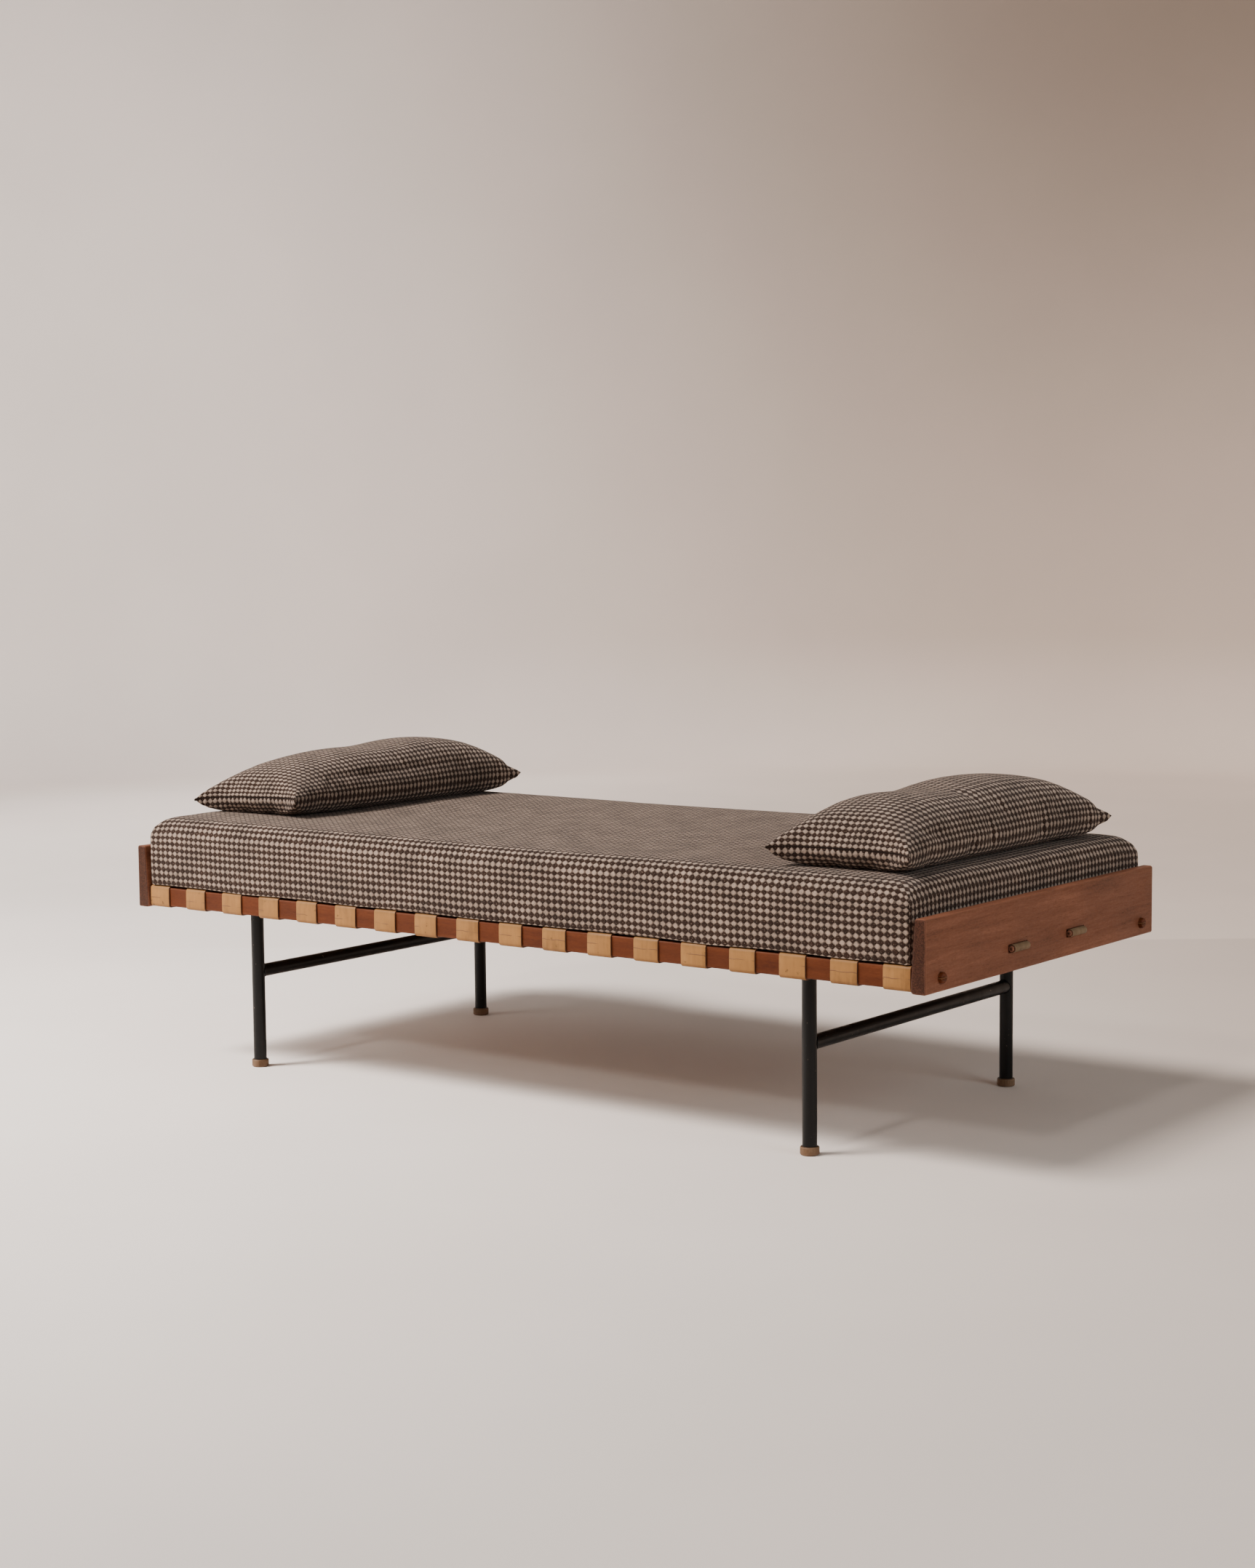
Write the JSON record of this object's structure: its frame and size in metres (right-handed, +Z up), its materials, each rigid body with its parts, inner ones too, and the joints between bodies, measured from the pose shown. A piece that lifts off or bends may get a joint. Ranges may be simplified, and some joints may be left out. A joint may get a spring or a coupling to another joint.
{
  "type": "daybed",
  "caption": "Low daybed with wooden end boards and rails, woven leather strap deck, black tubular steel legs on wooden feet, a checked mattress and pillows.",
  "frame": {"origin": "on the floor, under the middle of the bed", "axes": "+X along the bed towards its right end as seen from the front, -Y the front, +Z up"},
  "size_m": [1.9672, 0.862, 0.6523],
  "materials": {
    "red_wood": "satin",
    "pale_wood": "satin",
    "strap_leather": "satin",
    "worn_strap_leather": "matte",
    "black_painted_steel": "satin",
    "screw_steel": "satin",
    "checked_fabric": "matte",
    "foam": "matte",
    "pillow_filling": "matte"
  },
  "bodies": {
    "frame": {"end_board_left": "red_wood", "end_board_right": "red_wood", "side_rail_front": "red_wood", "side_rail_back": "red_wood", "strap_dowel_front_left": "red_wood", "strap_dowel_front_right": "red_wood", "strap_dowel_back_left": "red_wood", "strap_dowel_back_right": "red_wood", "tenon_wedge_front_left": "pale_wood", "tenon_wedge_front_right": "pale_wood", "tenon_wedge_back_left": "pale_wood", "tenon_wedge_back_right": "pale_wood", "foot_front_left": "pale_wood", "foot_front_right": "pale_wood", "foot_back_left": "pale_wood", "foot_back_right": "pale_wood", "cross_strap_01": "strap_leather", "cross_strap_02": "strap_leather", "cross_strap_03": "strap_leather", "cross_strap_04": "strap_leather", "cross_strap_05": "strap_leather", "cross_strap_06": "strap_leather", "cross_strap_07": "strap_leather", "cross_strap_08": "strap_leather", "cross_strap_09": "strap_leather", "cross_strap_10": "strap_leather", "cross_strap_11": "strap_leather", "cross_strap_12": "strap_leather", "cross_strap_13": "strap_leather", "cross_strap_14": "strap_leather", "cross_strap_15": "strap_leather", "cross_strap_16": "strap_leather", "cross_strap_17": "strap_leather", "cross_strap_18": "strap_leather", "long_strap_front": "worn_strap_leather", "long_strap_back": "worn_strap_leather", "stretcher_left": "black_painted_steel", "stretcher_right": "black_painted_steel", "leg_tube_front_left": "black_painted_steel", "leg_tube_front_right": "black_painted_steel", "leg_tube_back_left": "black_painted_steel", "leg_tube_back_right": "black_painted_steel", "leg_plate_front_left": "black_painted_steel", "leg_plate_front_right": "black_painted_steel", "leg_plate_back_left": "black_painted_steel", "leg_plate_back_right": "black_painted_steel", "plate_screw_front_left_a": "screw_steel", "plate_screw_front_left_b": "screw_steel", "plate_screw_front_right_a": "screw_steel", "plate_screw_front_right_b": "screw_steel", "plate_screw_back_left_a": "screw_steel", "plate_screw_back_left_b": "screw_steel", "plate_screw_back_right_a": "screw_steel", "plate_screw_back_right_b": "screw_steel"},
    "mattress": {"mattress_cover": "checked_fabric", "mattress_core": "foam"},
    "pillow_left": {"pillow_cover_left": "checked_fabric", "pillow_insert_left": "pillow_filling"},
    "pillow_right": {"pillow_cover_right": "checked_fabric", "pillow_insert_right": "pillow_filling"}
  },
  "joints": [
    {"name": "mattress_lift", "type": "slide", "parent": "frame", "child": "mattress", "axis": [0, 0, 1], "range_m": [0, 0.3]},
    {"name": "pillow_left_lift", "type": "slide", "parent": "mattress", "child": "pillow_left", "axis": [0, 0, 1], "range_m": [0, 0.25]},
    {"name": "pillow_right_lift", "type": "slide", "parent": "mattress", "child": "pillow_right", "axis": [0, 0, 1], "range_m": [0, 0.25]}
  ]
}
